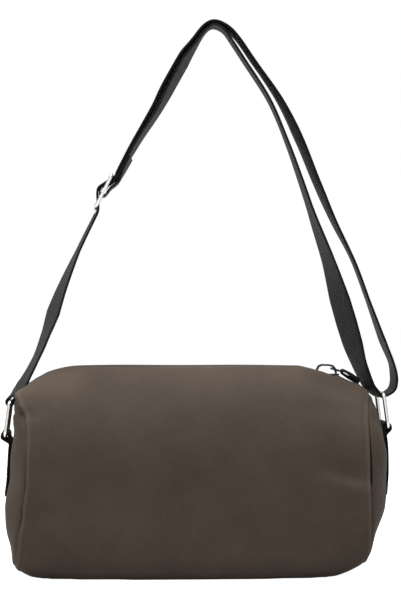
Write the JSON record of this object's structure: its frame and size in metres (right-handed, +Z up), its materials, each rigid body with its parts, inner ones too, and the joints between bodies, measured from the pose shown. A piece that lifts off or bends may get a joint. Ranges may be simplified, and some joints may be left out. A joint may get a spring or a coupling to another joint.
{
  "type": "crossbody bag",
  "caption": "Soft barrel-shaped crossbody bag with a top zip, a metal ring in a webbing tab at each end and an adjustable doubled webbing strap.",
  "frame": {"origin": "centre of the flat base, on the surface that the bag stands on", "axes": "+Z up, +X towards the end where the zip is closed, -Y the front that the picture shows"},
  "size_m": [0.3139, 0.14, 0.4326],
  "materials": {
    "shell_fabric": "smooth matte padded cloth, dark taupe",
    "lining_fabric": "plain matte lining cloth, near black",
    "binding_tape": "matte binding tape, black",
    "zip_tape": "woven zip tape, black",
    "zip_teeth": "moulded teeth, black",
    "zip_slider": "black enamel, satin",
    "pull_ribbon": "grosgrain ribbon, black",
    "webbing": "plain woven webbing, black",
    "ring_metal": "polished nickel plate",
    "slider_metal": "polished nickel plate"
  },
  "bodies": {
    "bag": {"main_panel": "shell_fabric", "end_panel_left": "shell_fabric", "end_panel_right": "shell_fabric", "seam_binding_left": "binding_tape", "seam_binding_right": "binding_tape", "lining_body": "lining_fabric", "lining_end_left": "lining_fabric", "lining_end_right": "lining_fabric", "zip_tape_front": "zip_tape", "zip_tape_back": "zip_tape", "zip_teeth_front": "zip_teeth", "zip_teeth_back": "zip_teeth", "zip_top_stops": "zip_teeth", "zip_bottom_stop": "zip_teeth", "ring_tab_left": "webbing", "ring_tab_right": "webbing", "strap_end_left": "webbing", "strap_end_right": "webbing"},
    "zip_slider": {"zip_slider": "zip_slider"},
    "zip_pull": {"zip_pull_eye": "zip_slider", "zip_pull_ribbon": "pull_ribbon"},
    "ring_left": {"ring_left": "ring_metal"},
    "ring_right": {"ring_right": "ring_metal"},
    "strap": {"strap_left_run": "webbing", "strap_outer_run": "webbing", "strap_inner_run": "webbing"},
    "strap_glide": {"glide_frame": "slider_metal", "glide_bar": "slider_metal", "glide_webbing": "webbing", "strap_sewn_end": "webbing"}
  },
  "joints": [
    {"name": "zip_slide", "type": "slide", "parent": "bag", "child": "zip_slider", "axis": [-1, 0, 0], "range_m": [0, 0.2], "deforming": ["zip_teeth_front", "zip_teeth_back", "zip_pull_ribbon"]},
    {"name": "zip_pull_swing", "type": "hinge", "parent": "zip_slider", "child": "zip_pull", "pos_m": [0.1072, 0, 0.15849], "axis": [0, -1, 0], "range_deg": [0, 150]},
    {"name": "ring_left_swing", "type": "hinge", "parent": "bag", "child": "ring_left", "pos_m": [-0.1494, 0, 0.1073], "axis": [0, -1, 0], "range_deg": [-8, 40], "deforming": ["strap_end_left"]},
    {"name": "ring_right_swing", "type": "hinge", "parent": "bag", "child": "ring_right", "pos_m": [0.1494, 0, 0.1132], "axis": [0, 1, 0], "range_deg": [-8, 40], "deforming": ["strap_end_right"]},
    {"name": "strap_swing", "type": "hinge", "parent": "bag", "child": "strap", "pos_m": [0, 0, 0.165], "axis": [1, 0, 0], "range_deg": [-80, 80]},
    {"name": "strap_adjust", "type": "slide", "parent": "strap", "child": "strap_glide", "axis": [0.4493, 0, 0.8934], "range_m": [-0.035, 0.035], "deforming": ["strap_left_run", "strap_outer_run", "strap_inner_run"]}
  ]
}
